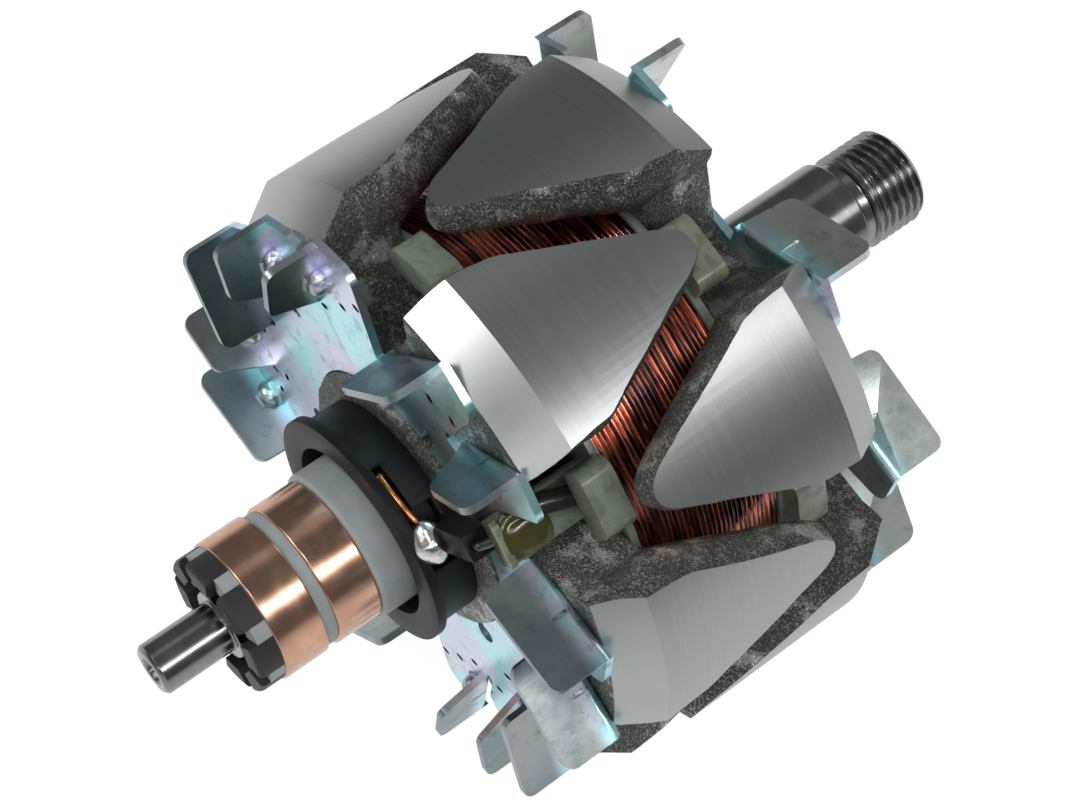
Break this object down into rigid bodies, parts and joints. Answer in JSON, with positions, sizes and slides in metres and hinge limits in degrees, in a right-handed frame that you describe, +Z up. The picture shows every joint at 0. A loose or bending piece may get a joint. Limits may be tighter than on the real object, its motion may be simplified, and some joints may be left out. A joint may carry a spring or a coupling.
{
  "type": "generator rotor",
  "caption": "Claw-pole generator rotor: interleaved tapered poles over a field coil, stamped fans at both ends, slip rings and a stepped shaft with a drive thread.",
  "frame": {"origin": "on the rotor's axis, at the middle of the seat for the drive-end bearing", "axes": "+Y along the axis towards the threaded drive end, +Z up, with a gap between two pole fingers facing down"},
  "size_m": [0.0986, 0.1389, 0.0986],
  "materials": {
    "ground_steel": "ground and polished",
    "pole_steel": "forged, turned on the outside",
    "bobbin_nylon": "translucent nylon, varnished in places",
    "enamelled_copper": "enamelled and varnished wire",
    "plated_sheet": "zinc plated and passivated",
    "grey_moulding": "moulded, satin",
    "ring_copper": "turned copper",
    "bare_copper": "drawn copper",
    "black_moulding": "moulded, satin",
    "sleeving": "varnished tubing",
    "solder": "bright solder"
  },
  "bodies": {
    "root": {"rotor_shaft": "ground_steel", "pole_core": "pole_steel", "claw_pole_rear": "pole_steel", "claw_pole_front": "pole_steel", "coil_bobbin": "bobbin_nylon", "field_coil": "enamelled_copper", "fan_rear": "plated_sheet", "fan_front": "plated_sheet", "slip_ring_moulding": "grey_moulding", "slip_ring_outer": "ring_copper", "slip_ring_inner": "ring_copper", "ring_conductor_outer": "bare_copper", "ring_conductor_inner": "bare_copper", "lead_collar": "black_moulding", "lead_wire_a": "enamelled_copper", "lead_wire_b": "enamelled_copper", "lead_sleeve_a": "sleeving", "lead_sleeve_b": "sleeving", "solder_joint_a": "solder", "solder_joint_b": "solder"}
  },
  "joints": []
}
